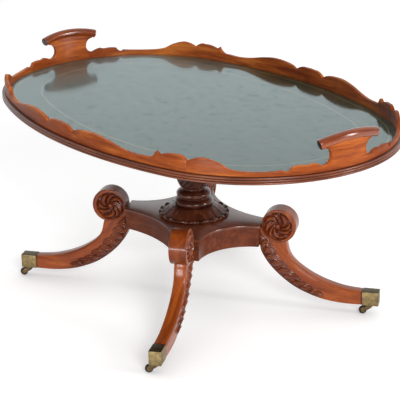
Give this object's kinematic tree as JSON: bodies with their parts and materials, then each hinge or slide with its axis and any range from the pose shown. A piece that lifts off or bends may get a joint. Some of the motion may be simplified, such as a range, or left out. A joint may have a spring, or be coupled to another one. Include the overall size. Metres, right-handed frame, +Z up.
{
  "type": "tray top tea table",
  "caption": "Oval tray top tea table: scalloped gallery with hand grips and glass over leather, lifting off a carved pedestal whose scroll-topped sabre legs stand on brass castors.",
  "frame": {"origin": "On the floor under the middle of the oval tray, which is also the column's axis.", "axes": "+X runs along the tray's long axis towards one handle, +Y along its short axis, +Z up."},
  "size_m": [1.1284, 0.7338, 0.552],
  "materials": {
    "mahogany": "polished",
    "leather": "tooled",
    "glass": "polished",
    "brass": "aged",
    "wheel": "worn",
    "steel": "plain"
  },
  "bodies": {
    "stand": {"column": "mahogany", "column_block": "mahogany", "column_collar": "mahogany", "column_wedge": "mahogany", "platform": "mahogany", "platform_board": "mahogany", "leg_right_back": "mahogany", "leg_left_back": "mahogany", "leg_left_front": "mahogany", "leg_right_front": "mahogany", "toe_cap_right_back": "brass", "toe_cap_left_back": "brass", "toe_cap_left_front": "brass", "toe_cap_right_front": "brass"},
    "tray": {"tray_board": "mahogany", "rim_moulding": "mahogany", "gallery_front": "mahogany", "gallery_back": "mahogany", "gallery_right": "mahogany", "gallery_left": "mahogany", "handle_grip_right": "mahogany", "handle_grip_left": "mahogany", "leather_panel": "leather", "glass_plate": "glass", "bearer_right": "mahogany", "bearer_left": "mahogany", "cleat_front": "mahogany", "cleat_back": "mahogany", "bearer_screws": "steel"},
    "castor_right_back_body": {"castor_right_back": "brass", "axle_right_back": "brass"},
    "wheel_right_back_body": {"wheel_right_back": "wheel"},
    "castor_left_back_body": {"castor_left_back": "brass", "axle_left_back": "brass"},
    "wheel_left_back_body": {"wheel_left_back": "wheel"},
    "castor_left_front_body": {"castor_left_front": "brass", "axle_left_front": "brass"},
    "wheel_left_front_body": {"wheel_left_front": "wheel"},
    "castor_right_front_body": {"castor_right_front": "brass", "axle_right_front": "brass"},
    "wheel_right_front_body": {"wheel_right_front": "wheel"}
  },
  "joints": [
    {"name": "tray_lift", "type": "slide", "parent": "stand", "child": "tray", "axis": [0, 0, 1], "range_m": [0, 0.06]},
    {"name": "swivel_right_back", "type": "hinge", "parent": "stand", "child": "castor_right_back_body", "pos_m": [0.34604, 0.25812, 0.0237], "axis": [0, 0, 1], "continuous": true},
    {"name": "roll_right_back", "type": "hinge", "parent": "castor_right_back_body", "child": "wheel_right_back_body", "pos_m": [0.33572, 0.24337, 0.0095], "axis": [0.8192, -0.5736, 0], "continuous": true},
    {"name": "swivel_left_back", "type": "hinge", "parent": "stand", "child": "castor_left_back_body", "pos_m": [-0.29706, 0.31325, 0.0237], "axis": [0, 0, 1], "continuous": true},
    {"name": "roll_left_back", "type": "hinge", "parent": "castor_left_back_body", "child": "wheel_left_back_body", "pos_m": [-0.30739, 0.29851, 0.0095], "axis": [0.8192, -0.5736, 0], "continuous": true},
    {"name": "swivel_left_front", "type": "hinge", "parent": "stand", "child": "castor_left_front_body", "pos_m": [-0.34604, -0.25812, 0.0237], "axis": [0, 0, 1], "continuous": true},
    {"name": "roll_left_front", "type": "hinge", "parent": "castor_left_front_body", "child": "wheel_left_front_body", "pos_m": [-0.35637, -0.27286, 0.0095], "axis": [0.8192, -0.5736, 0], "continuous": true},
    {"name": "swivel_right_front", "type": "hinge", "parent": "stand", "child": "castor_right_front_body", "pos_m": [0.29706, -0.31325, 0.0237], "axis": [0, 0, 1], "continuous": true},
    {"name": "roll_right_front", "type": "hinge", "parent": "castor_right_front_body", "child": "wheel_right_front_body", "pos_m": [0.28674, -0.32799, 0.0095], "axis": [0.8192, -0.5736, 0], "continuous": true}
  ]
}
